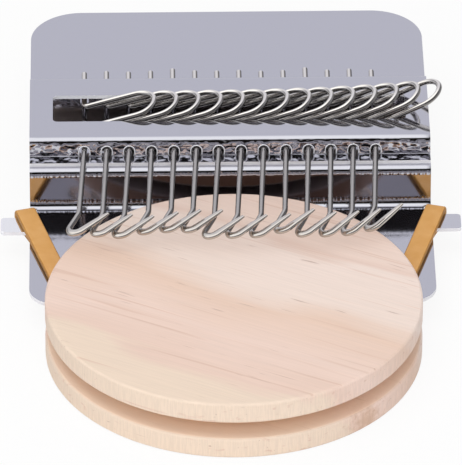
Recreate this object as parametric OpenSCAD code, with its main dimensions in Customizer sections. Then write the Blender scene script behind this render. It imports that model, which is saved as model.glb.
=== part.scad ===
// Darning loom: a grooved wooden disc, and a bent steel frame that carries a row of wire hooks.
// The fork of the frame slides into the groove of the disc, and a rubber band pulls it home.
// Millimetres. The origin is at the centre of the disc's underside, +Z up, hooks pointing to -Y.

/* [Wooden disc] */
// Diameter of the core at the bottom of the groove
core_d = 55; // [46:0.5:60]
// Depth of the groove, from the core to the rim
groove_depth = 10.7; // [9:0.1:13]
// Thickness of each of the two flanges
flange_h = 4.6; // [3:0.1:6]
// Rounding of the flange edges
disc_edge_r = 0.5; // [0.2:0.1:1.2]

/* [Frame] */
// Thickness of the steel sheet
sheet_t = 0.8; // [0.6:0.1:1.0]
// Inside radius of the bends in the sheet
bend_r = 0.8; // [0.4:0.1:1.0]
// Inside radius of the wider bend at the foot of the step
step_foot_r = 1.9; // [0.8:0.1:2.4]
// Length of the upper plate, from the step to its rear edge
plate_len = 62.2; // [56:0.2:75]
// Rounding of the upper plate's rear corners
plate_corner_r = 10.8; // [4:0.2:16]
// Gap between the rim of the disc and the step
step_gap = 4.8; // [4:0.1:8]
// Length of the fork, from the step to the tips of its prongs
fork_len = 36; // [32:0.5:40]
// Rounding of the prong tips
prong_corner_r = 5.5; // [2:0.5:7]
// Gap between the fork and the core of the disc
core_gap = 0.3; // [0.1:0.05:0.6]
// How far each ear stands out of the side of the fork
ear_len = 6; // [4.5:0.1:9]
// Width of each ear
ear_w = 5.4; // [4:0.1:8]
// Rounding of the ear corners
ear_corner_r = 0.8; // [0.3:0.1:1.5]

/* [Hook cover] */
// Depth of the cover, from its front wall to its rear wall
cover_depth = 24.8; // [20:0.2:28]
// Height of the cover above the upper plate
cover_h = 4.3; // [4:0.1:6]
// Distance from the step to the front wall of the cover
cover_set = 5.3; // [4:0.1:8]
// Width of the foot along the front wall
front_foot = 3.2; // [1.8:0.1:3.6]
// Width of the foot along the rear wall
rear_foot = 3; // [1.8:0.1:5]
// Distance from the front wall to the slot that the loops stand in
slot_set = 7.3; // [5.5:0.1:9]
// Width of the slot
slot_w = 10; // [8:0.1:12]
// Length of the slot beyond the first and the last hook
slot_end = 6.54; // [6:0.02:8]
// Width of the cover beside each end of the slot
end_strip = 4.8; // [3:0.1:8]
// Rounding of the slot corners
slot_corner_r = 1; // [0.3:0.1:2]
// Width of the hook holes in the front wall
front_hole_w = 2.1; // [1.9:0.1:2.6]
// Width of the hook holes in the rear wall
rear_hole_w = 1.75; // [1.6:0.05:2.2]

/* [Hooks] */
// Number of hooks
hook_count = 14; // [4:1:20]
// Distance between neighbouring hooks
hook_pitch = 4.64; // [4.5:0.02:6]
// Diameter of the wire
wire_d = 1.15; // [0.9:0.05:1.2]
// Height of the hook axis above the upper plate
stem_h = 2; // [1.7:0.1:2.3]
// Reach of the loop from the hook axis to its tip
loop_reach = 15.2; // [12:0.1:16]
// Gap between the loops and the edges of the slot
slot_gap = 0.3; // [0.15:0.05:0.6]
// Bend radius where the loop leaves the stem
stem_bend_r = 1.2; // [1:0.1:2]
// Length of wire behind the rear wall of the cover
tail_len = 4.5; // [3:0.1:10]
// Length of the straight shank in front of the cover
shank_len = 22.8; // [18:0.1:26]
// Lean of the shank to the left
shank_lean = 2.7; // [0:0.1:4]
// Bend radius at the start of the shank
shank_bend_r = 20; // [10:1:30]
// Turn from the shank into the crook
crook_turn = 22.3; // [10:0.1:30]
// Bend radius of that turn
crook_bend_r = 3; // [2:0.1:5]
// Length of the slanted run of the crook
crook_len = 4.2; // [3:0.1:5]
// Radius of the crook's round end
crook_r = 1.7; // [1.4:0.1:2.4]
// Slope of the barb against the row of hooks
barb_slope = 34; // [20:1:45]
// Length of the barb
barb_len = 6.9; // [5:0.1:8]
// Gap between neighbouring loops, which lean over each other
loop_gap = 0.16; // [0.12:0.02:0.6]
// Extra lean of the last loop, which stands up more
lean_rise = 10.5; // [0:0.5:12]
// Gap between an upright crook and the disc
hook_gap = 0.45; // [0.2:0.05:1.5]

/* [Rubber band] */
// Width of the band
band_w = 4.2; // [3:0.1:5]
// Thickness of the band
band_t = 1.3; // [1:0.1:1.8]
// Gap between the band and the sheet, and between the band and the flanges
band_gap = 0.1; // [0.05:0.05:0.3]
// Gap between the band and the core of the disc
band_core_gap = 0.3; // [0.1:0.1:0.6]
// Distance from the side of the fork to the middle of the band on the ear
band_set = 0.8; // [0.2:0.1:1.5]
// Distance from the step to the fold of the band behind the ear
fold_set = 3.5; // [3.2:0.1:4.5]

/* [Hidden] */
$fn = 64;
steel = "#b9bbc3";
wire_steel = "#a7a5a0";
pine = "#ecd3ba";
amber = "#d89c48";

// Disc
core_r = core_d / 2;
disc_r = core_r + groove_depth;
groove_h = sheet_t + 2 * (band_t + 2 * band_gap);
disc_h = 2 * flange_h + groove_h;
groove_mid = flange_h + groove_h / 2;

// Hook, as runs of [straight length, turn to the left, turn radius] from the tail to the barb
wire_r = wire_d / 2;
loop_r = (slot_w - wire_d) / 2 - slot_gap;
limb_run = loop_reach - loop_r - stem_bend_r;
slot_wall_gap = slot_gap + wire_r;
tail_run = tail_len + cover_depth - slot_set - slot_w + slot_wall_gap - stem_bend_r;
wall_run = slot_set + slot_wall_gap - stem_bend_r;
wire_path = [
    [tail_run, 90, stem_bend_r],
    [limb_run, -180, loop_r],
    [limb_run, 90, stem_bend_r],
    [wall_run, -shank_lean, shank_bend_r],
    [shank_len, -crook_turn, crook_bend_r],
    [crook_len, 90 + shank_lean + crook_turn + barb_slope, crook_r],
    [barb_len, 0, 0],
];

// Reach of the crook to the left of the hook axis, out to the surface of the wire
crook_heading = shank_lean + crook_turn;
crook_reach = wire_r + crook_r * (1 - cos(crook_heading)) + crook_len * sin(crook_heading)
    + crook_bend_r * (cos(shank_lean) - cos(crook_heading)) + shank_len * sin(shank_lean)
    + shank_bend_r * (1 - cos(shank_lean));

// Levels
fork_top = groove_mid + sheet_t / 2;
axis_z = disc_h + crook_reach + hook_gap;
plate_top = axis_z - stem_h;
cover_top = plate_top + cover_h;

// Places along Y
step_y = disc_r + step_gap;
plate_rear = step_y + plate_len;
prong_y = step_y - fork_len;
cover_y = step_y + cover_set;
cover_rear = cover_y + cover_depth;
slot_y = cover_y + slot_set;
tail_y = cover_rear + tail_len;

// Places along X
row_len = (hook_count - 1) * hook_pitch;
slot_len = row_len + 2 * slot_end;
frame_w = slot_len + 2 * end_strip;
function hook_x(i) = i * hook_pitch - row_len / 2;

// The loops lie over each other at the left and stand up more towards the right
lean_first = asin((wire_d + loop_gap) / hook_pitch);
function hook_lean(i) = lean_first + lean_rise * pow(i / max(hook_count - 1, 1), 3);

// Bends
bend_out = bend_r + sheet_t;

// Band: two flat layers, one over and one under the fork, joined by a fold behind each ear
band_path_r = core_r + band_core_gap + band_w / 2;
fold_x = frame_w / 2 + band_set;
fold_y = step_y - fold_set;
fold_far = norm([fold_x, fold_y]);
touch_angle = atan2(fold_y, fold_x) - acos(band_path_r / fold_far);
band_skew = -touch_angle;
band_run = sqrt(fold_far * fold_far - band_path_r * band_path_r);
fold_in = sheet_t / 2 + band_gap;
fold_out = fold_in + band_t;

// Ears, and the notch behind each ear that the fold of the band sits in
ear_rear = fold_y - band_w / 2 * sin(band_skew) - band_gap;
notch_gap = 0.2;
notch_x = fold_x - band_w / 2 * cos(band_skew) - notch_gap;
notch_rear = fold_y + band_w / 2 * sin(band_skew) + fold_out * cos(band_skew) + notch_gap;

// Small overrun of a cutting shape past the face that it cuts
over = 1;

// Bent wire and the round front of the band are a little thinner, and run a little into the straight ends
bend_thin = 0.01;
bend_lap = 0.06;

HOOKS = [for (i = [1 : hook_count]) str("hook_", i < 10 ? "0" : "", i)];

// Mirrors an outline towards the sides that are given as -1
module flip(side_x, side_y) {
    mirror([min(side_x, 0), 0]) mirror([0, min(side_y, 0)]) children();
}

// The part of a square corner that lies outside its rounding, pointing to +X and +Y
module corner_waste(r) {
    translate([-r, -r]) difference() {
        square(r + over);
        circle(r);
    }
}

// A quarter of a bent strip about its centre, in the quadrant of side_y and side_z
module bend(side_y, side_z, r = bend_r) {
    intersection() {
        difference() {
            circle(r + sheet_t);
            circle(r);
        }
        translate([min(side_y, 0), min(side_z, 0)] * (r + sheet_t)) square(r + sheet_t);
    }
}

// A profile drawn in Y and Z, run along X over the width of the frame
module along_width() {
    rotate([90, 0, 90]) linear_extrude(frame_w, center = true) children();
}

module flange_profile() {
    square([disc_r - disc_edge_r, flange_h]);
    translate([disc_r - disc_edge_r, disc_edge_r]) square([disc_edge_r, flange_h - 2 * disc_edge_r]);
    for (z = [disc_edge_r, flange_h - disc_edge_r])
        translate([disc_r - disc_edge_r, z]) circle(disc_edge_r);
}

module disc_profile() {
    intersection() {
        square([disc_r, disc_h]);
        union() {
            flange_profile();
            translate([0, flange_h]) square([core_r, groove_h]);
            translate([0, flange_h + groove_h]) flange_profile();
        }
    }
}

module wooden_disc() {
    color(pine) rotate_extrude() disc_profile();
}

module plate_outline() {
    front = step_y + bend_out;
    difference() {
        translate([-frame_w / 2, front]) square([frame_w, plate_rear - front]);
        for (side = [-1, 1])
            translate([side * frame_w / 2, plate_rear])
                flip(side, 1) corner_waste(plate_corner_r);
    }
}

module ear_outline() {
    reach = frame_w / 2 + ear_len;
    difference() {
        translate([0, ear_rear - ear_w]) square([reach, ear_w]);
        translate([reach, ear_rear]) corner_waste(ear_corner_r);
        translate([reach, ear_rear - ear_w]) flip(1, -1) corner_waste(ear_corner_r);
    }
}

module fork_outline() {
    rear = step_y - step_foot_r;
    difference() {
        union() {
            difference() {
                translate([-frame_w / 2, prong_y]) square([frame_w, rear - prong_y]);
                for (side = [-1, 1])
                    translate([side * frame_w / 2, prong_y])
                        flip(side, -1) corner_waste(prong_corner_r);
            }
            ear_outline();
            mirror([1, 0]) ear_outline();
        }
        circle(core_r + core_gap);
    }
}

module step_profile() {
    translate([step_y + bend_out, plate_top - bend_out]) bend(-1, 1);
    translate([step_y, fork_top + step_foot_r])
        square([sheet_t, plate_top - bend_out - fork_top - step_foot_r]);
    translate([step_y - step_foot_r, fork_top + step_foot_r]) bend(1, -1, step_foot_r);
}

module fold_notch() {
    translate([notch_x, ear_rear, groove_mid - fold_out - notch_gap])
        cube([frame_w / 2 - notch_x + over, notch_rear - ear_rear, 2 * (fold_out + notch_gap)]);
}

module base_plate() {
    color(steel) difference() {
        union() {
            translate([0, 0, plate_top - sheet_t]) linear_extrude(sheet_t) plate_outline();
            along_width() step_profile();
            translate([0, 0, fork_top - sheet_t]) linear_extrude(sheet_t) fork_outline();
        }
        fold_notch();
        mirror([1, 0, 0]) fold_notch();
    }
}

// Half of the cover's profile, seen from its front wall: foot, wall and the bends between them
module cover_wall(foot) {
    translate([-foot, 0]) square([foot - bend_r, sheet_t]);
    translate([-bend_r, bend_out]) bend(1, -1);
    translate([0, bend_out]) square([sheet_t, cover_h - 2 * bend_out]);
    translate([bend_out, cover_h - bend_out]) bend(-1, 1);
}

module cover_profile() {
    translate([cover_y, plate_top]) cover_wall(front_foot);
    translate([cover_y + bend_out, cover_top - sheet_t]) square([cover_depth - 2 * bend_out, sheet_t]);
    translate([cover_rear, plate_top]) mirror([1, 0]) cover_wall(rear_foot);
}

module slot_outline() {
    difference() {
        square([slot_len, slot_w], center = true);
        for (x = [-1, 1], y = [-1, 1])
            translate([x * slot_len / 2, y * slot_w / 2])
                flip(x, y) corner_waste(slot_corner_r);
    }
}

// A hole of the given width round the hook axis, open downwards, from y for the given length
module hook_hole(width, y, length) {
    translate([0, y, axis_z]) rotate([-90, 0, 0]) cylinder(d = width, h = length);
    translate([-width / 2, y, plate_top]) cube([width, length, stem_h]);
}

module hook_cover() {
    hole_len = bend_r + sheet_t + over;
    color(steel) difference() {
        along_width() cover_profile();
        translate([0, slot_y + slot_w / 2, cover_top - sheet_t - over])
            linear_extrude(sheet_t + 2 * over) slot_outline();
        for (i = [0 : hook_count - 1]) translate([hook_x(i), 0, 0]) {
            hook_hole(front_hole_w, cover_y - bend_r, hole_len);
            hook_hole(rear_hole_w, cover_rear + bend_r - hole_len, hole_len);
        }
    }
}

// Upper and lower run of the band to one ear and the fold behind it, seen from the side
module band_run_profile() {
    for (layer = [0, 1]) mirror([0, layer])
        translate([-band_run, fold_in]) square([band_run, band_t]);
    intersection() {
        difference() {
            circle(fold_out);
            circle(fold_in);
        }
        translate([0, -fold_out]) square([fold_out, 2 * fold_out]);
    }
}

module band_side() {
    translate([fold_x, fold_y, groove_mid]) rotate(-band_skew) rotate([90, 0, 90])
        linear_extrude(band_w, center = true) band_run_profile();
}

// The layer of the band round the front of the core, with its underside at z
module band_front(z) {
    lap = bend_lap / band_path_r * 180 / PI;
    translate([0, 0, z]) rotate(180 + band_skew - lap)
        rotate_extrude(angle = 180 - 2 * band_skew + 2 * lap)
            translate([band_path_r - band_w / 2 + bend_thin, bend_thin])
                square([band_w - 2 * bend_thin, band_t - 2 * bend_thin]);
}

module rubber_band() {
    color(amber) {
        band_side();
        mirror([1, 0, 0]) band_side();
        for (z = [groove_mid + fold_in, groove_mid - fold_out]) band_front(z);
    }
}

function turn_centre(pos, heading, turn, r) =
    pos + sign(turn) * r * [-sin(heading), cos(heading)];
function turn_end(centre, heading, r, turn) =
    centre + sign(turn) * r * [sin(heading + turn), -cos(heading + turn)];

// Wire along the runs of a path, from run i on, at a place and heading in the XY plane
module wire(path, i, pos, heading) {
    run = path[i][0];
    turn = path[i][1];
    r = path[i][2];
    corner = pos + run * [cos(heading), sin(heading)];
    centre = turn_centre(corner, heading, turn, r);
    translate(pos) rotate(heading) rotate([0, 90, 0]) cylinder(d = wire_d, h = run);
    if (turn != 0) {
        lap = bend_lap / r * 180 / PI;
        translate(centre) rotate((turn > 0 ? heading - 90 : heading + 90 + turn) - lap)
            rotate_extrude(angle = abs(turn) + 2 * lap)
                translate([r, 0]) circle(wire_r - bend_thin);
    }
    if (i < len(path) - 1)
        wire(path, i + 1, turn != 0 ? turn_end(centre, heading, r, turn) : corner, heading + turn);
}

module hook(i) {
    color(wire_steel) translate([hook_x(i), 0, axis_z]) rotate([0, -hook_lean(i), 0])
        wire(wire_path, 0, [0, tail_y], -90);
}

wooden_disc();
base_plate();
hook_cover();
rubber_band();
for (i = [0 : hook_count - 1])
    hook(i);
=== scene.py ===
# %% [markdown]
# # A darning loom
# This small hand loom mends socks and sleeves. A grooved wooden disc goes under the cloth, a forked steel
# frame slides into the groove, and a rubber band pulls the two together. A row of wire hooks on the frame
# holds the warp threads, and flips from side to side to open the shed.
#
# The shapes that move and fit are already made, as a frame of plain solids. This lesson dresses them: each
# piece is modelled again with soft edges and smooth bends, gets a material, and rides on its solid's body.

import math

import bmesh
import bpy
from mathutils import Matrix, Vector


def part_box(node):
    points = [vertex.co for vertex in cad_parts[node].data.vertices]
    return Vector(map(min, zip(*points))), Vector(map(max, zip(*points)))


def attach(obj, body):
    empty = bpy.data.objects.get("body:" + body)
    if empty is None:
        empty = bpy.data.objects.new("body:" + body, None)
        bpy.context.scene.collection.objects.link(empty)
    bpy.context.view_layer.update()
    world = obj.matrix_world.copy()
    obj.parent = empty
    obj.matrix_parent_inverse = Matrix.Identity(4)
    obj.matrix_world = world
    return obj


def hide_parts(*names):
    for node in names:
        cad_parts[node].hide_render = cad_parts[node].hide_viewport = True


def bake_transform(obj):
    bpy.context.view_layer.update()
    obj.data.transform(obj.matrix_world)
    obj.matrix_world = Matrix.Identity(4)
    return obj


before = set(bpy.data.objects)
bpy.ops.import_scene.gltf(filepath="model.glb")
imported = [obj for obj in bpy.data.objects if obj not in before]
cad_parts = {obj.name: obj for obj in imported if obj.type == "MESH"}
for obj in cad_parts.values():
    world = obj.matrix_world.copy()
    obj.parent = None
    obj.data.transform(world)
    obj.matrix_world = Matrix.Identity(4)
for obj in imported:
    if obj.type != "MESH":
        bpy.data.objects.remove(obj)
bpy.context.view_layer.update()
MM = 0.001

# %% [markdown]
# ## Camera
# The picture looks down at the loom from the disc's side, from far off, so that parallel edges stay almost
# parallel. A long lens at a metre and a half gives that. The camera is aimed at a point on top of the disc
# near the hooks, which needs no lens shift, and a shift would spoil every other view.

# %% Camera
photo_size = (462, 465)
aim_point = Vector((-0.2, 23.4, 13.0)) * MM
camera_elevation = math.radians(33.57)
camera_azimuth = math.radians(-0.94)
camera_distance = 1.522
pixels_per_radian = 7440
sensor_width_mm = 36

camera_data = bpy.data.cameras.new("camera")
camera_data.sensor_width = sensor_width_mm
camera_data.lens = pixels_per_radian / max(photo_size) * sensor_width_mm
camera_data.clip_start = 0.1
camera_data.clip_end = 50
camera = bpy.data.objects.new("camera", camera_data)
towards_camera = Vector((
    math.sin(camera_azimuth) * math.cos(camera_elevation),
    -math.cos(camera_azimuth) * math.cos(camera_elevation),
    math.sin(camera_elevation),
))
camera.location = aim_point + towards_camera * camera_distance
camera.rotation_euler = (-towards_camera).to_track_quat("-Z", "Y").to_euler()
bpy.context.scene.collection.objects.link(camera)
bpy.context.scene.camera = camera
bpy.context.scene.view_settings.view_transform = "Standard"

print("lens:", round(camera_data.lens), "mm")

# %% [markdown]
# ## Helpers for materials
# Every finish below is a small tree of nodes. Colours are written as the hex values that a paint chart
# would give, and one function turns them to the linear values that Blender works in. A second one adds a
# node, sets its properties, and fills its sockets with plain values or with links. A Mix node has the same
# socket names for each of its data types, so the function takes the one in use, and a node given as a value
# stands for its first output in use. The others make what several finishes share.


# %% Material helpers
def linear(hex_colour):
    """A linear RGBA colour from an sRGB hex value such as #edd5c9."""
    parts = [int(hex_colour[i : i + 2], 16) / 255 for i in (1, 3, 5)]
    return tuple(c / 12.92 if c <= 0.04045 else ((c + 0.055) / 1.055) ** 2.4 for c in parts) + (1.0,)


def add(tree, kind, inputs=None, **settings):
    """Adds a node to the tree. An input is a plain value, or a node or one of its outputs to link."""
    node = tree.nodes.new("ShaderNode" + kind)
    for name, value in settings.items():
        setattr(node, name, value)
    for name, value in (inputs or {}).items():
        named = [socket for socket in node.inputs if socket.name == name and socket.enabled]
        socket = named[0] if named else node.inputs[name]
        if isinstance(value, bpy.types.Node):
            value = next(output for output in value.outputs if output.enabled)
        if isinstance(value, bpy.types.NodeSocket):
            tree.links.new(value, socket)
        else:
            socket.default_value = value
    return node


def face_direction(tree):
    """How far a face points up, from -1 to 1, and how level it is, from 0 to 1."""
    normal = add(tree, "NewGeometry").outputs["True Normal"]
    up = add(tree, "SeparateXYZ", {"Vector": normal}).outputs["Z"]
    return up, add(tree, "Math", {0: up}, operation="ABSOLUTE")


def streaks_of(tree, place, sizes, detail):
    """Noise in streaks of about the given sizes along the three axes of a place."""
    scaled = add(tree, "Mapping", {"Vector": place, "Scale": tuple(1 / size for size in sizes)})
    return add(tree, "TexNoise", {"Vector": scaled, "Scale": 1.0, "Detail": detail})


def new_material(name):
    """An empty material and its node tree."""
    material = bpy.data.materials.new(name)
    material.use_nodes = True
    material.node_tree.nodes.clear()
    return material, material.node_tree


print("a mid grey is", round(linear("#808080")[0], 3), "in linear light")

# %% [markdown]
# ## Pine, sanded
# The disc is turned from a plain-sawn pine board and left bare. Bare sanded pine is pale and pinkish. The
# growth rings meet the face at a low angle, so they show as a few broad soft bands, each with one firmer
# edge. This could be painted as an image, but a solid pattern in space is better here: the same bands cross
# the face and run on down the rim, as they do in real wood. The bands are a ramp of colours across the
# grain, bent by slow noise.

# %% Pine grain
disc_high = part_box("wooden_disc")[1]
disc_r = disc_high.x
disc_h = disc_high.z
pine, tree = new_material("sanded_pine")
grain_angle = math.radians(28)
place = add(tree, "TexCoord").outputs["Object"]
along_grain = add(
    tree, "Mapping", {"Vector": place, "Rotation": (0, 0, grain_angle), "Scale": (1 / MM, 1 / MM, 1 / MM)},
)


def grain_noise(length_mm, width_mm, seed, detail=2.0):
    """Noise in streaks of about that length along the grain and that width across it."""
    stretch = add(
        tree, "Mapping",
        {"Vector": along_grain, "Location": (seed, seed, seed),
         "Scale": (1 / length_mm, 1 / width_mm, 1 / width_mm)},
    )
    return add(
        tree, "TexNoise",
        {"Vector": stretch, "Scale": 1.0, "Detail": detail, "Roughness": 0.55, "Distortion": 0.3},
    )


_, across, upward = add(tree, "SeparateXYZ", {"Vector": along_grain}).outputs
ring_slope = 0.6
lower_rings = add(tree, "Math", {0: upward, 1: ring_slope, 2: across}, operation="MULTIPLY_ADD")
wander_mm = 26.0
streak_mm = 7.0
wander = add(
    tree, "Math", {0: grain_noise(70, 40, 3.1), 1: wander_mm, 2: lower_rings}, operation="MULTIPLY_ADD",
)
streaks = add(
    tree, "Math", {0: grain_noise(40, 3.5, 8.4), 1: streak_mm, 2: wander}, operation="MULTIPLY_ADD",
)

# Half of the noise's range, and the rings' rise to the upper face, shift the ramp back to the disc
ring_shift = wander_mm / 2 + streak_mm / 2 + ring_slope * disc_h / MM
board_half = 38.0
ring_place = add(
    tree, "MapRange",
    {"Value": streaks, "From Min": ring_shift - board_half, "From Max": ring_shift + board_half},
)
rings = add(tree, "ValToRGB", {"Fac": ring_place})
ring_colours = [
    (0.0, "#efdac6"), (0.17, "#efdac7"), (0.21, "#ecd0c1"), (0.3, "#f1d7ca"), (0.48, "#eccfbd"),
    (0.57, "#f3e0d5"), (0.74, "#f4e1d7"), (0.77, "#ebd1c4"), (0.82, "#f2dbcf"), (1.0, "#efd5c8"),
]
while len(rings.color_ramp.elements) < len(ring_colours):
    rings.color_ramp.elements.new(0.5)
for element, (position, colour) in zip(rings.color_ramp.elements, ring_colours):
    element.position = position
    element.color = linear(colour)

print("bands across the grain:", len(ring_colours))

# %% [markdown]
# A few thin lines of late wood follow the rings, and short brown dashes, which are resin canals cut along
# their length. The rim is end grain in front and behind, and the lathe's tool lifts its fibres there, so it
# gets fine upright hairs, drawn about twice as coarse as real.

# %% Pine lines and fibres
late_wood = add(
    tree, "MapRange",
    {"Value": grain_noise(55, 1.3, 5.3), "From Min": 0.62, "From Max": 0.72, "To Max": 0.6},
)
canals = add(
    tree, "MapRange",
    {"Value": grain_noise(9, 0.55, 9.9, 1.0), "From Min": 0.72, "From Max": 0.8, "To Max": 0.5},
)
fibres = grain_noise(14, 0.5, 2.2, 3.0)
spot_x, spot_y, spot_z = add(tree, "SeparateXYZ", {"Vector": place}).outputs
way_round = add(tree, "Math", {0: spot_y, 1: spot_x}, operation="ARCTAN2")
hair_w = 0.35 * MM
hair_len = 4 * MM
hair_across = add(tree, "Math", {0: way_round, 1: disc_r / hair_w}, operation="MULTIPLY")
hair_up = add(tree, "Math", {0: spot_z, 1: 1 / hair_len}, operation="MULTIPLY")
hair_place = add(tree, "CombineXYZ", {"X": hair_across, "Y": hair_up})
hairs = add(tree, "TexNoise", {"Vector": hair_place, "Scale": 1.0, "Detail": 2.0})
_, flatness = face_direction(tree)
rim = add(
    tree, "MapRange", {"Value": flatness, "From Min": 0.2, "From Max": 0.7, "To Min": 1.0, "To Max": 0.0},
)
raised_hairs = add(
    tree, "MapRange",
    {"Value": hairs, "From Min": 0.3, "From Max": 0.7, "To Min": 0.05, "To Max": 0.95}, clamp=False,
)
surface = add(tree, "Mix", {"Factor": rim, "A": fibres, "B": raised_hairs})
shade = add(
    tree, "MapRange", {"Value": surface, "From Min": 0.3, "From Max": 0.7, "To Min": 0.965, "To Max": 1.03},
)

print("hairs on the rim:", round(hair_w / MM, 2), "mm wide")

# %% [markdown]
# Three more marks go on the disc. The end grain is torn and brown in one place on the rim. The groove gets
# painted light, a paler and warmer colour that stands in for light bounced into it. The rim at the back,
# between the fork's prongs, gets painted shade, a browner colour.

# %% Pine patches
torn_angle = math.radians(-47)
torn_centre = (disc_r * math.cos(torn_angle), disc_r * math.sin(torn_angle), 2 * MM)
torn_inner = 7 * MM
torn_outer = 11 * MM
ragged = 12 * MM
pit_size = 1.3 * MM
flange_h = 4.6 * MM
groove_half = disc_h / 2 - flange_h
torn_spot = add(tree, "VectorMath", {0: place, 1: torn_centre}, operation="DISTANCE")
pits = add(tree, "TexNoise", {"Vector": place, "Scale": 1 / pit_size, "Detail": 3.0, "Roughness": 0.7})
torn_edge = add(tree, "Math", {0: pits, 1: ragged, 2: torn_spot}, operation="MULTIPLY_ADD")
torn = add(
    tree, "MapRange",
    {"Value": torn_edge, "From Min": torn_inner, "From Max": torn_outer, "To Min": 0.5, "To Max": 0.0},
)
in_groove = add(tree, "Math", {0: spot_z, 1: disc_h / 2, 2: groove_half + 0.06 * MM}, operation="COMPARE")
# Painted light: the groove is made paler and warmer, as light bounced into it would make it.
groove_painted_light = add(tree, "Math", {0: in_groove, 1: 0.6}, operation="MULTIPLY")
# Painted shade: the rim towards the back is darkened brown, as the fork's step shades it.
rear = add(tree, "MapRange", {"Value": spot_y, "From Min": 15 * MM, "From Max": 30 * MM})
rear_rim_painted_shade = add(tree, "Math", {0: rear, 1: rim}, operation="MULTIPLY")
wood_layers = [
    (late_wood, linear("#dcb9a6"), "MIX"), (canals, linear("#a98474"), "MIX"), (1.0, shade, "MULTIPLY"),
    (torn, linear("#c49a78"), "MIX"), (groove_painted_light, linear("#ffe6d0"), "MIX"),
    (rear_rim_painted_shade, linear("#a68a78"), "MULTIPLY"),
]
wood_colour = rings
for amount, colour, blend in wood_layers:
    layer = {"Factor": amount, "A": wood_colour, "B": colour}
    wood_colour = add(tree, "Mix", layer, data_type="RGBA", blend_type=blend)
fibre_bump = add(tree, "Bump", {"Height": surface, "Strength": 0.25, "Distance": 0.1 * MM})
fibre_gloss = add(tree, "MapRange", {"Value": fibres, "To Min": 0.55, "To Max": 0.72})
shader = add(
    tree, "BsdfPrincipled",
    {"Base Color": wood_colour, "Roughness": fibre_gloss,
     "Normal": fibre_bump, "IOR": 1.5, "Specular IOR Level": 0.3},
)
add(tree, "OutputMaterial", {"Surface": shader})

print("pine nodes:", len(tree.nodes))

# %% [markdown]
# ## Stainless sheet, polished
# The frame and the hook cover are bent from polished stainless sheet. It is a mirror with a cool cast: flat
# faces show the pale studio, and walls show whatever stands in front of them. A perfect mirror would look
# like plastic foil, so the flats get the faint waves of rolled sheet, and the bends get orange peel, which
# steel takes on when it is folded sharply: coarse patches on the cover, and fine stretch lines across the
# plate's wider bends. A mask from the surface's own direction tells bends from flats and upright walls. The
# underside was never polished and stays dull, and its pale warm tone is painted light, which brightens the
# shaded slot. The ears get a painted highlight, a whiter colour, the left one most.

# %% Stainless sheet
cover_low, cover_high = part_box("hook_cover")
rolling_wave_mm = 18
plate_peel = Vector((0.5, 6, 6)) * MM
cover_peel = Vector((1.9, 1.5, 1.5)) * MM


def polished_sheet(name, peel_sizes, peel_strength):
    """Polished sheet, with orange peel of the given grain and strength where it is bent."""
    material, tree = new_material(name)
    place = add(tree, "TexCoord").outputs["Object"]
    rolling = add(tree, "TexNoise", {"Vector": place, "Scale": 1 / (rolling_wave_mm * MM), "Detail": 1.0})
    peel = streaks_of(tree, place, peel_sizes, 0.8)
    up, flatness = face_direction(tree)
    off_wall = add(tree, "MapRange", {"Value": flatness, "From Min": 0.06, "From Max": 0.16})
    off_flat = add(
        tree, "MapRange",
        {"Value": flatness, "From Min": 0.25, "From Max": 0.8, "To Min": peel_strength, "To Max": 0.0},
    )
    bend_zone = add(tree, "Math", {0: off_wall, 1: off_flat}, operation="MULTIPLY")
    wave_bump = add(tree, "Bump", {"Height": rolling, "Strength": 0.025, "Distance": MM})
    peel_bump = add(
        tree, "Bump", {"Height": peel, "Strength": bend_zone, "Distance": MM, "Normal": wave_bump},
    )
    underside = add(
        tree, "MapRange", {"Value": up, "From Min": -0.6, "From Max": -0.1, "To Min": 1.0, "To Max": 0.0},
    )
    spot_x, _, _ = add(tree, "SeparateXYZ", {"Vector": place}).outputs
    sideways = add(tree, "Math", {0: spot_x}, operation="ABSOLUTE")
    # Painted highlight: the ears, out beyond the cover's sides, are made whiter, the left one most.
    painted_light_factor = add(
        tree, "MapRange",
        {"Value": sideways, "From Min": cover_high.x + 0.1 * MM, "From Max": cover_high.x + 1.1 * MM},
    )
    more_on_left = add(
        tree, "MapRange", {"Value": spot_x, "From Min": -MM, "From Max": MM, "To Min": 1.0, "To Max": 0.15},
    )
    painted_highlight_share = add(tree, "Math", {0: painted_light_factor, 1: more_on_left}, operation="MULTIPLY")
    upper_colour = add(
        tree, "Mix",
        {"Factor": painted_highlight_share, "A": linear("#c9c9d1"), "B": linear("#ffffff")}, data_type="RGBA",
    )
    # Painted light: the underside's pale warm colour brightens the shaded slot; its dull finish is real.
    colour = add(
        tree, "Mix", {"Factor": underside, "A": upper_colour, "B": linear("#d6c6bb")}, data_type="RGBA",
    )
    polish = add(tree, "MapRange", {"Value": rolling, "To Min": 0.06, "To Max": 0.12})
    gloss = add(tree, "Mix", {"Factor": underside, "A": polish, "B": 0.5})
    bare = add(tree, "MapRange", {"Value": underside, "To Min": 1.0, "To Max": 0.35})
    shader = add(
        tree, "BsdfPrincipled",
        {"Base Color": colour, "Metallic": bare, "Roughness": gloss, "Normal": peel_bump},
    )
    add(tree, "OutputMaterial", {"Surface": shader})
    return material


plate_steel = polished_sheet("polished_stainless_plate", plate_peel, 0.55)
cover_steel = polished_sheet("polished_stainless_cover", cover_peel, 0.8)

print("orange peel:", round(plate_peel.x / MM, 2), "and", round(cover_peel.x / MM, 2), "mm")

# %% [markdown]
# The edges of the sheet were cut by a punch. A punched edge is torn rather than polished. It is dull, with
# fine upright lines, and it scatters the light, so it looks pale beside the dark mirror. It gets little of
# the metal's own reflection.

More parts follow.
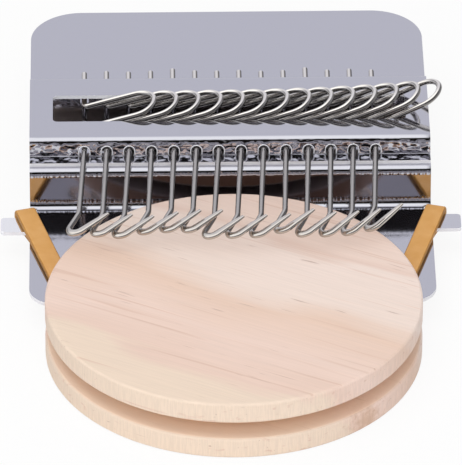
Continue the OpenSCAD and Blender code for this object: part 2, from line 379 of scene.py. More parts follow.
# %% Punched edge
cut_steel, tree = new_material("punched_steel_edge")
tear_sizes = Vector((0.2, 0.2, 0.8)) * MM
place = add(tree, "TexCoord").outputs["Object"]
tears = streaks_of(tree, place, tear_sizes, 2.0)
tear_bump = add(tree, "Bump", {"Height": tears, "Strength": 0.2, "Distance": 0.1 * MM})
tear_gloss = add(tree, "MapRange", {"Value": tears, "To Min": 0.4, "To Max": 0.55})
shader = add(
    tree, "BsdfPrincipled",
    {"Base Color": linear("#f4f4fa"), "Metallic": 0.15, "Roughness": tear_gloss, "Normal": tear_bump},
)
add(tree, "OutputMaterial", {"Surface": shader})

print("torn lines:", round(tear_sizes.x / MM, 2), "mm apart")

# %% [markdown]
# ## Steel wire, drawn
# The hooks are stiff drawn wire. The die leaves fine lines along the wire and a satin gloss, a little
# warmer and darker than the sheet. The lines have to follow every bend, so they are drawn in the wire's own
# unrolled map, which holds the length along it and the way round it in millimetres. Real die lines are far
# finer than a pixel, so these are drawn ten times as coarse, to show at all. The map starts at the tip of
# the barb, which was ground after it was hammered flat, so the last centimetre is paler. The finger keeps
# the loops glossy, and their paler colour is a painted highlight. The sides of the wire get painted shade,
# a darker colour where stacked wires would shade each other.

# %% Drawn wire
wire_steel, tree = new_material("drawn_steel_wire")
wire_r = 1.15 / 2
die_line_mm = (12, 0.25, 1)
ground_mm = 10.5
loop_from_tip_mm = 45
unrolled = add(tree, "UVMap", uv_map="along_wire")
die_lines = streaks_of(tree, unrolled, die_line_mm, 2.0)
wire_colour = add(
    tree, "Mix", {"Factor": die_lines, "A": linear("#b0aca8"), "B": linear("#c6c3c0")}, data_type="RGBA",
)
from_tip, round_wire, _ = add(tree, "SeparateXYZ", {"Vector": unrolled}).outputs
ground = add(
    tree, "MapRange",
    {"Value": from_tip, "From Min": ground_mm - 2, "From Max": ground_mm, "To Min": 0.6, "To Max": 0.0},
)
# Finger polish makes the loops glossier; the paler colour laid on them is a painted highlight.
polish_and_painted_highlight = add(
    tree, "MapRange", {"Value": from_tip, "From Min": loop_from_tip_mm, "From Max": loop_from_tip_mm + 4},
)
# Painted shade: the sides of the wire in the hook's plane are darkened, where stacked wires would shade
# each other.
way_round = add(tree, "Math", {0: round_wire, 1: 1 / wire_r}, operation="MULTIPLY")
from_side = add(tree, "Math", {0: way_round}, operation="SINE")
above_or_below = add(tree, "Math", {0: from_side}, operation="ABSOLUTE")
painted_light_factor = add(
    tree, "MapRange",
    {"Value": above_or_below, "From Min": 0.2, "From Max": 0.85, "To Min": 0.3, "To Max": 1.0},
)
wire_layers = [
    (polish_and_painted_highlight, linear("#efebe6"), "MIX"), (1.0, painted_light_factor, "MULTIPLY"), (ground, linear("#e9e2d9"), "MIX"),
]
for amount, colour, blend in wire_layers:
    layer = {"Factor": amount, "A": wire_colour, "B": colour}
    wire_colour = add(tree, "Mix", layer, data_type="RGBA", blend_type=blend)
drawn_gloss = add(tree, "MapRange", {"Value": die_lines, "To Min": 0.2, "To Max": 0.1})
wire_gloss = add(tree, "Mix", {"Factor": polish_and_painted_highlight, "A": drawn_gloss, "B": 0.05})
line_bump = add(tree, "Bump", {"Height": die_lines, "Strength": 0.06, "Distance": 0.05 * MM})
shader = add(
    tree, "BsdfPrincipled",
    {"Base Color": wire_colour, "Metallic": 1.0, "Roughness": wire_gloss, "Normal": line_bump},
)
add(tree, "OutputMaterial", {"Surface": shader})

print("die lines:", die_line_mm[:2], "mm")

# %% [markdown]
# ## Natural rubber
# The band is cut from a tube of natural amber rubber. Its moulded faces are satin and carry a dusty bloom,
# which makes them paler. Its cut edges are clear, so that the eye looks into the depth of the rubber and
# sees a deeper amber, and their darker colour is also painted shade on the band's narrow sides. Two
# materials from one recipe give that, and the mesh says which face is which.


# %% Rubber
def amber_rubber(name, clear_colour, bloom_colour):
    """Natural rubber whose colour drifts between clear amber and its dusty bloom."""
    material, tree = new_material(name)
    bloom_patch_mm = 3
    place = add(tree, "TexCoord").outputs["Object"]
    bloom = add(tree, "TexNoise", {"Vector": place, "Scale": 1 / (bloom_patch_mm * MM), "Detail": 4.0})
    amount = add(tree, "MapRange", {"Value": bloom, "From Min": 0.3, "From Max": 0.7})
    colour = add(
        tree, "Mix",
        {"Factor": amount, "A": linear(clear_colour), "B": linear(bloom_colour)}, data_type="RGBA",
    )
    skin = add(tree, "Bump", {"Height": bloom, "Strength": 0.15, "Distance": 0.1 * MM})
    gloss = add(tree, "MapRange", {"Value": bloom, "To Min": 0.4, "To Max": 0.65})
    shader = add(
        tree, "BsdfPrincipled", {"Base Color": colour, "Roughness": gloss, "Normal": skin, "IOR": 1.52},
    )
    add(tree, "OutputMaterial", {"Surface": shader})
    return material


rubber_face = amber_rubber("amber_rubber_bloomed_face", "#d99e52", "#e2ac69")
# The cut edges: clear rubber seen in depth, made darker still as painted shade on the band's sides.
rubber_edge_painted_shade = amber_rubber("amber_rubber_cut_edge_painted_shade", "#b47a2e", "#c68f42")

print("rubber:", rubber_face.name, rubber_edge_painted_shade.name)

# %% [markdown]
# ## Paths of straight runs and round turns
# Sheet and wire are bent in the same way: straight for a while, then round a former, then straight again.
# So one list of runs describes both, each with its straight length, its turn in degrees to the left and its
# radius. A curve object with handles could hold a path too, but it would only come near to round bends, and
# walking along the runs gives every point exactly.


# %% Paths
def heading_of(degrees):
    """The unit vector of a heading in the plane."""
    return Vector((math.cos(math.radians(degrees)), math.sin(math.radians(degrees))))


def walk(runs, start, heading, distance):
    """The place and the heading after a distance along the runs."""
    place = Vector(start)
    for length, turn, radius in runs:
        straight = min(distance, length)
        place = place + heading_of(heading) * straight
        distance -= straight
        arc = radius * math.radians(abs(turn))
        if distance <= 0 or arc == 0:
            break
        share = min(distance / arc, 1)
        side = 90 if turn > 0 else -90
        centre = place + heading_of(heading + side) * radius
        heading += turn * share
        place = centre - heading_of(heading + side) * radius
        distance -= arc * share
    return place, heading


def stations(runs, turn_step, straight_step=1e6):
    """Distances along the runs, every turn_step degrees of a turn and every straight_step of a straight."""
    found = [0.0]
    for length, turn, radius in runs:
        pieces = max(1, math.ceil(length / straight_step))
        begin = found[-1]
        found += [begin + length * i / pieces for i in range(1, pieces + 1)]
        begin = found[-1]
        arc = radius * math.radians(abs(turn))
        pieces = math.ceil(abs(turn) / turn_step)
        found += [begin + arc * i / pieces for i in range(1, pieces + 1)]
    return found


def arc_points(centre, radius, begin, end, pieces):
    """Points on an arc in the plane, from one angle in degrees to another."""
    angles = [begin + (end - begin) * i / pieces for i in range(pieces + 1)]
    return [Vector(centre) + heading_of(angle) * radius for angle in angles]


quarter = walk([(0, 90, 1)], (0, 0), 0, math.pi / 2)
print("a quarter turn ends at", [round(c, 3) for c in quarter[0]], "heading", quarter[1])

# %% [markdown]
# ## From mesh to piece
# Each mesh becomes an object that takes the place of its solid, gets its materials and rides on its
# body. Smooth shading alone would bend the light on flat faces near an edge. A weighted normal, which lets
# the large faces win, keeps flats flat and bends round.


# %% Pieces
def make_piece(name, mesh_data, materials, body, node):
    """An object for a finished mesh, standing for a node of the frame."""
    mesh = bpy.data.meshes.new(name)
    mesh_data.to_mesh(mesh)
    mesh_data.free()
    for polygon in mesh.polygons:
        polygon.use_smooth = True
    for material in materials:
        mesh.materials.append(material)
    piece = bpy.data.objects.new(name, mesh)
    bpy.context.scene.collection.objects.link(piece)
    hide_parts(node)
    if body:
        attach(piece, body)
    return piece


def keep_flats_flat(piece):
    """Shading in which large faces set the direction at their edges."""
    modifier = piece.modifiers.new("flat_faces", "WEIGHTED_NORMAL")
    modifier.keep_sharp = True
    modifier.weight = 80


def lathe(profile, steps):
    """A mesh from a profile of (radius, height) points turned about Z. It starts and ends on the axis."""
    bm = bmesh.new()
    rings = []
    for radius, height in profile:
        count = 1 if radius == 0 else steps
        angles = [2 * math.pi * i / steps for i in range(count)]
        rings.append([bm.verts.new((radius * math.cos(a), radius * math.sin(a), height)) for a in angles])
    for lower, upper in zip(rings, rings[1:]):
        for i in range(steps):
            j = (i + 1) % steps
            below = [lower[i % len(lower)], lower[j % len(lower)]]
            above = [upper[j % len(upper)], upper[i % len(upper)]]
            bm.faces.new(list(dict.fromkeys(below + above)))
    return bm


# %% [markdown]
# ## The wooden disc
# The disc is one piece of pine with a deep groove turned into its edge, for the fork and the band. On a
# lathe it is a profile, spun. The corners of both flanges are eased with sandpaper, and the inner corners
# of the groove stay sharp, as the parting tool leaves them.

# %% Wooden disc
core_r = 27.5 * MM
eased_r = 0.6 * MM
turning_steps = 256


def flange(z, height):
    """Outer corners of one flange, eased, from its lower face to its upper face."""
    lower = arc_points((disc_r - eased_r, z + eased_r), eased_r, -90, 0, 5)
    upper = arc_points((disc_r - eased_r, z + height - eased_r), eased_r, 0, 90, 5)
    return [tuple(p) for p in lower + upper]


disc_profile = (
    [(0, 0), (core_r, 0)]
    + flange(0, flange_h)
    + [(core_r, flange_h), (core_r, disc_h - flange_h)]
    + flange(disc_h - flange_h, flange_h)
    + [(core_r, disc_h), (0, disc_h)]
)
disc_mesh = lathe(disc_profile, turning_steps)
disc = make_piece("turned_disc", disc_mesh, [pine], "disc", "wooden_disc")
groove_corners = disc.modifiers.new("groove_corners", "EDGE_SPLIT")
groove_corners.split_angle = math.radians(60)
keep_flats_flat(disc)

print("disc:", round(2 * disc_r / MM, 1), "mm across,", round(disc_h / MM, 1), "mm thick")

# %% [markdown]
# ## Bent sheet
# A sheet part starts as a flat blank, cut to its outline with its holes, and is then folded. The mesh is
# made in the same order. The outline is filled, cut across where the bends will be, and each point is
# walked along the bent profile. Then the sheet gets its thickness, and its cut edges a small round, which
# catches the light.


# %% Bent sheet
def bent_sheet(loops, runs, start, turn_step=7.5):
    """A mesh for the middle of a sheet. Loops are outlines of (across, along) points, in millimetres."""
    bm = bmesh.new()
    for loop in loops:
        corners = [bm.verts.new((across, along, 0)) for across, along in loop]
        for corner, following in zip(corners, corners[1:] + corners[:1]):
            bm.edges.new((corner, following))
    bmesh.ops.triangle_fill(bm, edges=bm.edges[:], use_beauty=True, normal=(0, 0, 1))
    for along in stations(runs, turn_step)[1:-1]:
        geometry = bm.verts[:] + bm.edges[:] + bm.faces[:]
        bmesh.ops.bisect_plane(bm, geom=geometry, plane_co=(0, along, 0), plane_no=(0, 1, 0), dist=1e-4)
    for vert in bm.verts:
        (y, z), _ = walk(runs, start, 0, vert.co.y)
        vert.co = Vector((vert.co.x, y, z)) * MM
    bmesh.ops.recalc_face_normals(bm, faces=bm.faces[:])
    return bm


def thicken(piece, thickness, edge_round):
    """Gives a sheet its thickness to both sides, and rounds its cut edges."""
    solid = piece.modifiers.new("sheet_thickness", "SOLIDIFY")
    solid.thickness = thickness
    solid.offset = 0
    solid.use_even_offset = True
    solid.material_offset_rim = 1
    edges = piece.modifiers.new("cut_edges", "BEVEL")
    edges.width = edge_round
    edges.segments = 2
    edges.limit_method = "ANGLE"
    edges.angle_limit = math.radians(50)
    keep_flats_flat(piece)


def mirrored(points):
    """The points and their mirror images across the middle line, as one closed outline."""
    half = [tuple(p) for p in points]
    return half + [(-x, y) for x, y in reversed(half) if x > 1e-6]


sheet_t = 0.8
bend_mid_r = 1.2
edge_round = 0.12

print("bend radius at the middle of the sheet:", bend_mid_r, "mm")

# %% [markdown]
# ## Where the band runs
# The plate has to leave room for the rubber band, so the band's path is worked out first. It touches the
# core, runs back at a slant on each side, and folds behind the ears. The slant is that of the line from the
# fold that just touches the core.

# %% Band layout
plate_low, plate_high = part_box("base_plate")
frame_half = cover_high.x / MM
step_y = 43.0
band_w = 4.2
band_t = 1.3
core_gap = 0.3
fold_out = 0.8
fold_ahead = 3.5
band_path_r = core_r / MM + core_gap + band_w / 2
fold_x = frame_half + fold_out
fold_y = step_y - fold_ahead
fold_far = math.hypot(fold_x, fold_y)
skew = math.acos(band_path_r / fold_far) - math.atan2(fold_y, fold_x)
strand = math.sqrt(fold_far**2 - band_path_r**2)

print("slant of the band:", round(math.degrees(skew), 1), "degrees")

# %% [markdown]
# ## The base plate
# One blank makes the whole frame: the fork that straddles the core of the disc, two ears for the band with
# a notch behind each, the step, and the broad plate that the hand holds. Sizes come from the solid's box
# where it gives them, and the rest are written in millimetres.

# %% Base plate
prong_y = plate_low.y / MM
plate_rear = plate_high.y / MM
plate_mid_z = plate_high.z / MM - sheet_t / 2
fork_mid_z = plate_low.z / MM + sheet_t / 2
bend_in_r = bend_mid_r - sheet_t / 2
foot_in_r = 1.9
foot_mid_r = foot_in_r + sheet_t / 2
step_turn = 88.0
wall_cosine, wall_sine = heading_of(90 - step_turn)
wall_rise = plate_mid_z - fork_mid_z - (foot_mid_r + bend_mid_r) * (1 - wall_sine)
wall_lean = wall_rise / wall_cosine * wall_sine
fork_flat = step_y - foot_in_r - prong_y - wall_lean / 2
plate_flat = plate_rear - step_y - sheet_t - bend_in_r - wall_lean / 2
plate_runs = [
    (fork_flat, step_turn, foot_mid_r),
    (wall_rise / wall_cosine, -step_turn, bend_mid_r),
    (plate_flat, 0, 0),
]
blank_length = stations(plate_runs, 90)[-1]

core_cut_r = core_r / MM + core_gap
prong_corner_r = 5.5
plate_corner_r = 10.8
ear_tip = plate_high.x / MM
ear_len = 5.4
ear_gap = 0.1
ear_rear = fold_y - band_w / 2 * math.sin(skew) - ear_gap - prong_y
ear_front = ear_rear - ear_len
ear_corner_r = 0.8
notch_gap = 0.2
notch_side = fold_x - band_w / 2 * math.cos(skew) - notch_gap
notch_into_bend = 1.1
notch_rear = fork_flat + notch_into_bend
cut_begin = math.degrees(math.asin(prong_y / core_cut_r))

half_outline = (
    arc_points((0, -prong_y), core_cut_r, 90, cut_begin, 32)
    + arc_points((frame_half - prong_corner_r, prong_corner_r), prong_corner_r, -90, 0, 12)
    + [Vector((frame_half, ear_front))]
    + arc_points((ear_tip - ear_corner_r, ear_front + ear_corner_r), ear_corner_r, -90, 0, 6)
    + arc_points((ear_tip - ear_corner_r, ear_rear - ear_corner_r), ear_corner_r, 0, 90, 6)
    + [Vector(p) for p in ((notch_side, ear_rear), (notch_side, notch_rear), (frame_half, notch_rear))]
    + arc_points((frame_half - plate_corner_r, blank_length - plate_corner_r), plate_corner_r, 0, 90, 24)
)
plate_sheet = bent_sheet([mirrored(half_outline)], plate_runs, (prong_y, fork_mid_z))
base_plate = make_piece(
    "bent_base_plate", plate_sheet, [plate_steel, cut_steel], "loom_frame", "base_plate",
)
thicken(base_plate, sheet_t * MM, edge_round * MM)

print("blank:", round(2 * ear_tip, 1), "by", round(blank_length, 1), "mm")

# %% [markdown]
# ## The hook cover
# The cover is a shallow channel, folded four times, and its walls lean in a little. It has a long slot for
# the loops, and a row of holes at the foot of both walls for the wire. The holes are cut while the sheet is
# flat. They are round at both ends and begin at the fold of the foot. The front ones are wider and end
# lower.

# %% Hook cover
hook_count = 14
hook_pitch = 4.64
plate_top = plate_high.z / MM
cover_h = cover_high.z / MM - plate_top
cover_y = 48.3
cover_rear = 73.1
cover_turn = 78.0
wall_cosine, wall_sine = heading_of(90 - cover_turn)
foot_fold_r = 0.55
wall_run = (cover_h - sheet_t - (bend_mid_r + foot_fold_r) * (1 - wall_sine)) / wall_cosine
wall_depth = (bend_mid_r + foot_fold_r) * wall_cosine + wall_run * wall_sine
front_flat = cover_y + sheet_t / 2 - wall_depth / 2 - cover_low.y / MM
rear_flat = cover_high.y / MM - (cover_rear - sheet_t / 2 + wall_depth / 2)
top_run = cover_rear - cover_y - sheet_t - wall_depth
cover_runs = [
    (front_flat, cover_turn, foot_fold_r),
    (wall_run, -cover_turn, bend_mid_r),
    (top_run, -cover_turn, bend_mid_r),
    (wall_run, cover_turn, foot_fold_r),
    (rear_flat, 0, 0),
]
cover_length = stations(cover_runs, 90)[-1]
foot_fold = foot_fold_r * math.radians(cover_turn)
top_fold = bend_mid_r * math.radians(cover_turn)
stem_h = 2.0
hook_places = [(i - (hook_count - 1) / 2) * hook_pitch for i in range(hook_count)]
hole_w = 2.1
rear_hole_w = 1.75
hole_drop = 0.28
hole_pieces = 12


def arched_hole(x, width, foot, rise, drop):
    """A hole that begins at the fold of the foot and is round at both ends. Rise is 1 or -1."""
    radius = width / 2
    middle = foot + rise * (foot_fold + stem_h - drop - sheet_t / 2 - foot_fold_r * (1 - wall_sine))
    lower = arc_points((x, foot + rise * hole_w / 2), radius, -180 * rise, 0, hole_pieces)
    upper = arc_points((x, middle), radius, 0, 180 * rise, hole_pieces)
    return [tuple(p) for p in lower + upper]


slot_margin = 4.8
slot_y = 55.6
slot_w = 10
slot_half = frame_half - slot_margin
top_front = cover_y + sheet_t / 2 + wall_depth / 2
slot_front = front_flat + foot_fold + wall_run + top_fold + slot_y - top_front
slot_rear = slot_front + slot_w
slot_corner_r = 1
slot_corners = (
    arc_points((slot_half - slot_corner_r, slot_front + slot_corner_r), slot_corner_r, -90, 0, 5)
    + arc_points((slot_half - slot_corner_r, slot_rear - slot_corner_r), slot_corner_r, 0, 90, 5)
)
cover_outline = mirrored([Vector((frame_half, 0)), Vector((frame_half, cover_length))])
front_holes = [arched_hole(x, hole_w, front_flat, 1, hole_drop) for x in hook_places]
rear_holes = [arched_hole(x, rear_hole_w, cover_length - rear_flat, -1, 0) for x in hook_places]
cover_start = (cover_low.y / MM, plate_top + sheet_t / 2)
cover_loops = [cover_outline, mirrored(slot_corners)] + front_holes + rear_holes
cover_sheet = bent_sheet(cover_loops, cover_runs, cover_start)
hook_cover = make_piece(
    "folded_hook_cover", cover_sheet, [cover_steel, cut_steel], "loom_frame", "hook_cover",
)
thicken(hook_cover, sheet_t * MM, 1.5 * edge_round * MM)

print("holes in the cover:", 1 + len(front_holes) + len(rear_holes))

# %% [markdown]
# ## The wire hooks
# Each hook is one length of wire in one plane: a tail, a hairpin loop that the finger pushes, a shank, and
# a crook whose barb is hammered flat and ground to a narrow tip. A bevelled curve would give round wire,
# but not the flat barb. So a ring of points is swept along the path, and the ring itself changes shape
# towards the tip.

# %% Hook path
slot_gap = 0.3
stem_bend_r = 1.2
loop_reach = 15.2
loop_r = (slot_w - 2 * wire_r) / 2 - slot_gap
limb_run = loop_reach - loop_r - stem_bend_r
axis_z = plate_top + stem_h
plain_tail = 4.5
shank_len = 22.8
shank_stray = 2.7
crook_len = 4.2
crook_bend = 22.3
crook_r = 1.7
gentle_r = 20
sharp_r = 3
barb_len = 6.9
barb_turn = 34


def hook_runs(tail, spare):
    """Runs of one hook, from the end of its tail to the tip of its barb. The spare lengthens the shank."""
    return [
        (cover_rear + tail - (slot_y + slot_w - slot_gap - wire_r) - stem_bend_r, 90, stem_bend_r),
        (limb_run, -180, loop_r),
        (limb_run, 90, stem_bend_r),
        (slot_y + slot_gap + wire_r - stem_bend_r - cover_y, -shank_stray, gentle_r),
        (shank_len + spare, -crook_bend, sharp_r),
        (crook_len, 90 + shank_stray + crook_bend + barb_turn, crook_r),
        (barb_len, 0, 0),
    ]


# Half width in the hook's plane, half height across it and squareness, by the distance from the barb's tip
barb_shape = [
    (0, 0.42, 0.2, 2.6), (0.25, 0.5, 0.26, 3.2), (3.5, 0.72, 0.36, 4.0), (7.0, 0.88, 0.42, 4.0),
    (8.6, 0.84, 0.46, 3.4), (10.6, wire_r, wire_r, 2),
]


def wire_section(to_tip):
    """Half width, half thickness and squareness of the wire at a distance from the tip."""
    for near, far in zip(barb_shape, barb_shape[1:]):
        if to_tip <= far[0]:
            share = (to_tip - near[0]) / (far[0] - near[0])
            return [a + (b - a) * share for a, b in zip(near[1:], far[1:])]
    return barb_shape[-1][1:]


print("wire in one hook:", round(stations(hook_runs(plain_tail, 0), 90)[-1], 1), "mm")

# %% [markdown]
# The rings are joined into a tube. The map along the wire is written at the same time, because only here is
# it known how far along and how far round each face lies.


# %% Sweeping rings into a tube
def tube(rings, lengths, round_length, closed=False, faces_of=None):
    """A mesh through rings of points, with a map of the length along it and the way round it."""
    bm = bmesh.new()
    unrolled = bm.loops.layers.uv.new("along_wire")
    rows = [[bm.verts.new(point) for point in ring] for ring in rings]
    count = len(rings[0])
    following = rows[1:] + (rows[:1] if closed else [])
    for i, (row, after) in enumerate(zip(rows, following)):
        for j in range(count):
            k = (j + 1) % count
            face = bm.faces.new((row[j], row[k], after[k], after[j]))
            face.material_index = faces_of[j] if faces_of else 0
            ends = (lengths[i], lengths[i], lengths[i + 1], lengths[i + 1])
            sides = (j, j + 1, j + 1, j)
            for loop, end, side in zip(face.loops, ends, sides):
                loop[unrolled].uv = (end, side * round_length / count)
    if not closed:
        bm.faces.new(rows[0])
        bm.faces.new(rows[-1])
    bmesh.ops.recalc_face_normals(bm, faces=bm.faces[:])
    return bm


def lip_rings(outline, lip_r, points=8):
    """Rings along an outline in the cover's flat pattern, on the folded sheet's outer face."""
    spots = []
    for across, along in outline:
        (y, z), heading = walk(cover_runs, cover_start, 0, along)
        outwards = heading_of(heading + 90)
        normal = Vector((0, outwards.x, outwards.y))
        spots.append((Vector((across, y, z)) + normal * sheet_t / 2, normal))
    rings, lengths = [], [0.0]
    for i, (spot, normal) in enumerate(spots):
        ahead = spots[min(i + 1, len(spots) - 1)][0] - spots[max(i - 1, 0)][0]
        aside = ahead.cross(normal).normalized()
        angles = [2 * math.pi * k / points for k in range(points)]
        rings.append([(spot + (normal * math.cos(a) + aside * math.sin(a)) * lip_r) * MM for a in angles])
        lengths.append(lengths[-1] + ahead.length / 2)
    return rings, lengths


def squared(value, squareness):
    """A sine or cosine pushed outwards, so that a ring turns from a circle towards a square."""
    return math.copysign(abs(value) ** (2 / squareness), value)


ring_points = 16
end_round = 0.12
sway_over = 30


def hook_rings(lean, tail, sway, spare):
    """Rings of one hook about its axis, in millimetres, with its loop leaning up from the plate."""
    tilt = Matrix.Rotation(-lean, 3, "Y")
    runs = hook_runs(tail, spare)
    along = stations(runs, turn_step=7.5, straight_step=1.5)
    rings, lengths = [], []
    for i, distance in enumerate([0.0, *along, along[-1]]):
        (x, y), heading = walk(runs, (0, cover_rear + tail), -90, distance)
        half_w, half_t, squareness = wire_section(along[-1] - distance)
        shrink = 1 - end_round / wire_r if i in (0, len(along) + 1) else 1
        left = heading_of(heading + 90)
        x += sway * max(0, cover_y - y) / sway_over
        ring = []
        for k in range(ring_points):
            angle = 2 * math.pi * k / ring_points
            aside = squared(math.cos(angle), squareness) * half_w * shrink
            above = squared(math.sin(angle), squareness) * half_t * shrink
            ring.append(tilt @ Vector((x + left.x * aside, y + left.y * aside, above)))
        rings.append(ring)
        lengths.append(along[-1] - distance)
    return rings, lengths


print("rings in one hook:", len(hook_rings(0, plain_tail, 0, 0)[0]))

# %% [markdown]
# The punch that cuts the front holes raises a thin bright lip round each. A ring swept along the hole's
# outline on the folded sheet makes it, with the same tube.

# %% Lips of the front holes
lip_r = 0.11
for i, hook_x in enumerate(hook_places):
    outline = arched_hole(hook_x, hole_w + 2 * lip_r, front_flat, 1, hole_drop)
    from_bottom = outline[hole_pieces // 2 :] + outline[: hole_pieces // 2]
    rings, lengths = lip_rings([p for p in from_bottom if p[1] > front_flat + foot_fold], lip_r)
    lip = tube(rings, lengths, 2 * math.pi * lip_r)
    make_piece(f"hole_lip_{i + 1:02d}", lip, [cut_steel], "loom_frame", "hook_cover")

print("lips:", hook_count)

# %% [markdown]
# Fourteen hooks stand in a row. Each loop lies on the next one to its right, and the last few, with less to
# lie on them, stand up more. Wire bent by hand is never quite alike: tails and shanks differ in length, and
# the shanks stray a little to one side, less than the gap between neighbours. In a light as wide and soft
# as the studio's, thin wire leaves no shadow that the eye could see, so the hooks cast none.

# %% The row of hooks
loop_gap = 0.16
lean_first = math.asin((2 * wire_r + loop_gap) / hook_pitch)
lean_rise = math.radians(10.5)
tails = [4.5, 4.8, 4.5, 4.8, 5.6, 4.8, 4.6, 4.8, 4.4, 4.6, 5.6, 4.6, 4.9, 4.5]
sways = [0, 0.25, 0, 0.3, 0.3, 0.05, -0.2, -0.1, 0.1, 0.4, 0.2, 0.3, 0.1, 0]
spares = [-0.8, -0.2, 0.3, -0.8, -1.5, -1.5, 0.7, 0.5, 0.4, -1.0, 0.2, 0.2, -0.4, -2.0]

for i, (hook_x, tail, sway, spare) in enumerate(zip(hook_places, tails, sways, spares)):
    lean = lean_first + lean_rise * (i / (hook_count - 1)) ** 3
    rings, lengths = hook_rings(lean, tail, sway, spare)
    placed = [[(point + Vector((hook_x, 0, axis_z))) * MM for point in ring] for ring in rings]
    node = f"hook_{i + 1:02d}"
    wire = tube(placed, lengths, 2 * math.pi * wire_r)
    piece = make_piece(f"wire_{node}", wire, [wire_steel], node, node)
    ends = piece.modifiers.new("sharp_ends", "EDGE_SPLIT")
    ends.split_angle = math.radians(50)
    piece.visible_shadow = False

print("hooks:", hook_count)

# %% [markdown]
# ## The rubber band
# The band is a flat loop that lies twice round the core, over the fork and under it, with a fold behind
# each ear. Along the loop the width of the band always lies level and points away from the core, so the
# section can be swept without any twist. The lower layer tucks in under the fork. On the real loom, when
# the frame is pulled off the disc, the front stays with the disc, the folds go with the frame, and the
# strands between them stretch. Here the band is one fixed mesh that rides on no body.

# %% Rubber band
band_corner_r = 0.35
groove_mid = disc_h / MM / 2
band_gap = 0.1
tucked = 2.0
layer_z = sheet_t / 2 + band_gap + band_t / 2
skew_degrees = math.degrees(skew)
strand_steps = 24
arc_steps = 48
fold_steps = 10


def band_side(side, layers):
    """Points of one strand out to the fold behind an ear and back, from one layer to the other."""
    outward = heading_of(-skew_degrees)
    outward = Vector((outward.x * side, outward.y, 0))
    ahead = Vector((-outward.y * side, abs(outward.x), 0))
    touch = outward * band_path_r
    reach = [ahead * strand * i / strand_steps for i in range(strand_steps)]
    out, back = ([(touch + far + Vector((0, 0, z)), outward) for far in reach] for z in layers)
    fold = []
    for i in range(fold_steps + 1):
        turn = math.pi * i / fold_steps
        bulge = ahead * layer_z * math.sin(turn) + Vector((0, 0, layers[0] * math.cos(turn)))
        fold.append((touch + ahead * strand + bulge, outward))
    path = out + fold + back[::-1]
    for i, (point, _) in enumerate(path):
        if point.z < 0:
            share = (point - touch).dot(ahead) / strand
            path[i] = (point - outward * tucked * math.sin(math.pi * min(share, 1)), outward)
    return path


def band_front(begin, end, layer):
    """Points of one layer round the front of the core, without its two ends."""
    path = []
    for i in range(1, arc_steps):
        outward = heading_of(begin + (end - begin) * i / arc_steps).to_3d()
        path.append((outward * band_path_r + Vector((0, 0, layer)), outward))
    return path


band_path = (
    band_front(180 + skew_degrees, 360 - skew_degrees, layer_z)
    + band_side(1, (layer_z, -layer_z))
    + band_front(360 - skew_degrees, 180 + skew_degrees, -layer_z)
    + band_side(-1, (-layer_z, layer_z))
)

band_length = sum((b[0] - a[0]).length for a, b in zip(band_path, band_path[1:]))
print("band length:", round(band_length), "mm")

# %% [markdown]
# The section is a rectangle with soft corners. The faces on its two narrow sides are the cut edges of the
# rubber.

# %% Band section
half_w, half_t = band_w / 2, band_t / 2
section = []
for x, y, begin in ((1, 1, 0), (-1, 1, 90), (-1, -1, 180), (1, -1, 270)):
    corner = (x * (half_w - band_corner_r), y * (half_t - band_corner_r))
    section += arc_points(corner, band_corner_r, begin, begin + 90, 3)
section_sides = zip(section, section[1:] + section[:1])
edge_from = 2 * (half_w - band_corner_r / 2)
cut_edge = [1 if abs(a.x + b.x) > edge_from else 0 for a, b in section_sides]

band_rings = []
for i, (point, outward) in enumerate(band_path):
    ahead = band_path[(i + 1) % len(band_path)][0] - band_path[i - 1][0]
    above = outward.cross(ahead).normalized()
    centre = point + Vector((0, 0, groove_mid))
    band_rings.append([(centre + outward * p.x + above * p.y) * MM for p in section])
band_lengths = list(range(len(band_rings) + 1))
band = make_piece(
    "amber_band", tube(band_rings, band_lengths, band_w, closed=True, faces_of=cut_edge),
    [rubber_face, rubber_edge_painted_shade], None, "rubber_band",
)
keep_flats_flat(band)
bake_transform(band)

print("band rings:", len(band_rings))

# %% [markdown]
# ## Studio
# The loom lies on a white floor under two large soft lamps, one above and one in front. Polished steel
# shows the room more than it shows itself, so the room matters as much as the lamps. Cards and panels could
# stand round the loom, but they would have to be hidden from every camera. Here the world itself is the
# room, drawn by direction for reflections only: pale walls behind and at the sides, a bright ceiling panel
# to the left, a low pale strip and one panel in front, and the dark studio between them. The camera itself
# sees plain white.

# %% Floor
floor_material, tree = new_material("white_paper")
rays = add(tree, "LightPath")
paper = add(tree, "BsdfDiffuse", {"Color": linear("#f4f4f4")})
glow = add(tree, "Emission", {"Color": linear("#ffffff")})
seen_share = add(tree, "Math", {0: rays.outputs["Is Camera Ray"], 1: 0.9}, operation="MULTIPLY")
seen = add(tree, "MixShader", {0: seen_share, 1: paper, 2: glow})
add(tree, "OutputMaterial", {"Surface": seen})

floor_half = 3.0
floor_drop = 0.05 * MM
floor_mesh = bpy.data.meshes.new("floor")
corners = [(-1, -1), (1, -1), (1, 1), (-1, 1)]
floor_points = [(x * floor_half, y * floor_half, -floor_drop) for x, y in corners]
floor_mesh.from_pydata(floor_points, [], [(0, 1, 2, 3)])
floor_mesh.materials.append(floor_material)
floor = bpy.data.objects.new("floor", floor_mesh)
bpy.context.scene.collection.objects.link(floor)

print("floor:", 2 * floor_half, "m wide")

# %% [markdown]
# Each part of the room fills some directions, with soft edges, and lays its colour over those before it. X
# points to the right, Y away from the camera and Z up. The ceiling panel is brighter than white.

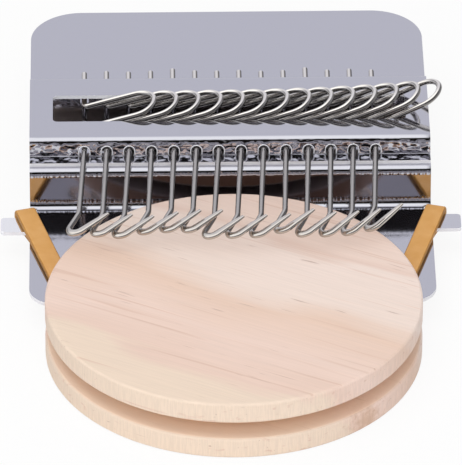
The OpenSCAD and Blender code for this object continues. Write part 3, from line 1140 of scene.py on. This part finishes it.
# %% Room
room = bpy.data.worlds.new("studio_room")
room.use_nodes = True
tree = room.node_tree
tree.nodes.clear()
rays = add(tree, "LightPath")
direction = add(tree, "TexCoord").outputs["Generated"]
across, ahead, up = add(tree, "SeparateXYZ", {"Vector": direction}).outputs
sideways = add(tree, "Math", {0: across}, operation="ABSOLUTE")
up_and_left = add(tree, "Math", {0: across, 1: -0.45, 2: up}, operation="MULTIPLY_ADD")

# What each edge is measured on, where it begins and ends, its share before and after, and how it blends
soft_edges = {
    "low_strip": (up, 0.28, 0.42, 1.0, 0.0, "LINEAR"),
    "front_half": (ahead, -0.7, -0.3, 1.0, 0.0, "LINEAR"),
    "back_wall": (ahead, 0.1, 0.5, 0.0, 1.0, "SMOOTHSTEP"),
    "wall_right": (across, 0.25, 0.5, 1.0, 0.3, "SMOOTHSTEP"),
    "wall_left": (across, -0.6, -0.4, 0.35, 1.0, "SMOOTHSTEP"),
    "side_walls": (sideways, 0.7, 0.88, 0.0, 1.0, "SMOOTHSTEP"),
    "overhead": (up_and_left, 0.62, 0.97, 0.0, 1.0, "SMOOTHSTEP"),
    "ceiling_edge": (ahead, -0.5, -0.3, 0.0, 1.0, "LINEAR"),
}
share = {}
for name, (place, begin, end, before, after, blend) in soft_edges.items():
    edge = {"Value": place, "From Min": begin, "From Max": end, "To Min": before, "To Max": after}
    share[name] = add(tree, "MapRange", edge, interpolation_type=blend)
panel = add(tree, "Math", {0: up, 1: 0.5, 2: 0.06}, operation="COMPARE")
pale = add(tree, "Math", {0: share["low_strip"], 1: panel}, operation="MAXIMUM")
front = add(tree, "Math", {0: pale, 1: share["front_half"]}, operation="MULTIPLY")
wall_ends = add(tree, "Math", {0: share["wall_right"], 1: share["wall_left"]}, operation="MULTIPLY")
wall = add(tree, "Math", {0: share["back_wall"], 1: wall_ends}, operation="MULTIPLY")
ceiling = add(tree, "Math", {0: share["overhead"], 1: share["ceiling_edge"]}, operation="MULTIPLY")
room_layers = [
    (front, linear("#aca9af")), (wall, linear("#e2e2ea")), (share["side_walls"], linear("#bdbdc6")),
    (ceiling, (1.3, 1.3, 1.3, 1)),
]
room_colour = linear("#161312")
for amount, colour in room_layers:
    room_colour = add(tree, "Mix", {"Factor": amount, "A": room_colour, "B": colour}, data_type="RGBA")

# Light on its way to the wood or the floor comes from an even fill, also where the steel sends it there
undiffused = add(tree, "Math", {0: rays.outputs["Diffuse Depth"], 1: 0.5}, operation="LESS_THAN")
in_mirror = add(tree, "Math", {0: rays.outputs["Is Glossy Ray"], 1: undiffused}, operation="MULTIPLY")
fill = add(tree, "Background", {"Color": linear("#ffffff"), "Strength": 0.52})
mirrored_room = add(tree, "Background", {"Color": room_colour})
white = add(tree, "Background", {"Color": linear("#ffffff")})
by_glossy = add(tree, "MixShader", {0: in_mirror, 1: fill, 2: mirrored_room})
by_camera = add(tree, "MixShader", {0: rays.outputs["Is Camera Ray"], 1: by_glossy, 2: white})
add(tree, "OutputWorld", {"Surface": by_camera})
bpy.context.scene.world = room

print("room nodes:", len(tree.nodes))

# %% [markdown]
# The lamps light the wood and the rubber. The camera and the steel don't see them, because the steel
# already has the room to mirror.


# %% Lamps
def soft_lamp(name, place, size, watts):
    """A large rectangular lamp that lights the loom without showing in the picture or in the steel."""
    data = bpy.data.lights.new(name, "AREA")
    data.shape = "RECTANGLE"
    data.size, data.size_y = size
    data.energy = watts
    lamp = bpy.data.objects.new(name, data)
    lamp.location = place
    lamp.rotation_euler = (-lamp.location).to_track_quat("-Z", "Y").to_euler()
    lamp.visible_camera = False
    lamp.visible_glossy = False
    bpy.context.scene.collection.objects.link(lamp)


soft_lamp("softbox_above", (-0.12, -0.1, 0.75), (0.7, 0.5), 2.2)
soft_lamp("softbox_front", (-0.1, -0.9, 0.52), (1.0, 0.6), 3.8)

print("lamps: one above and one in front")
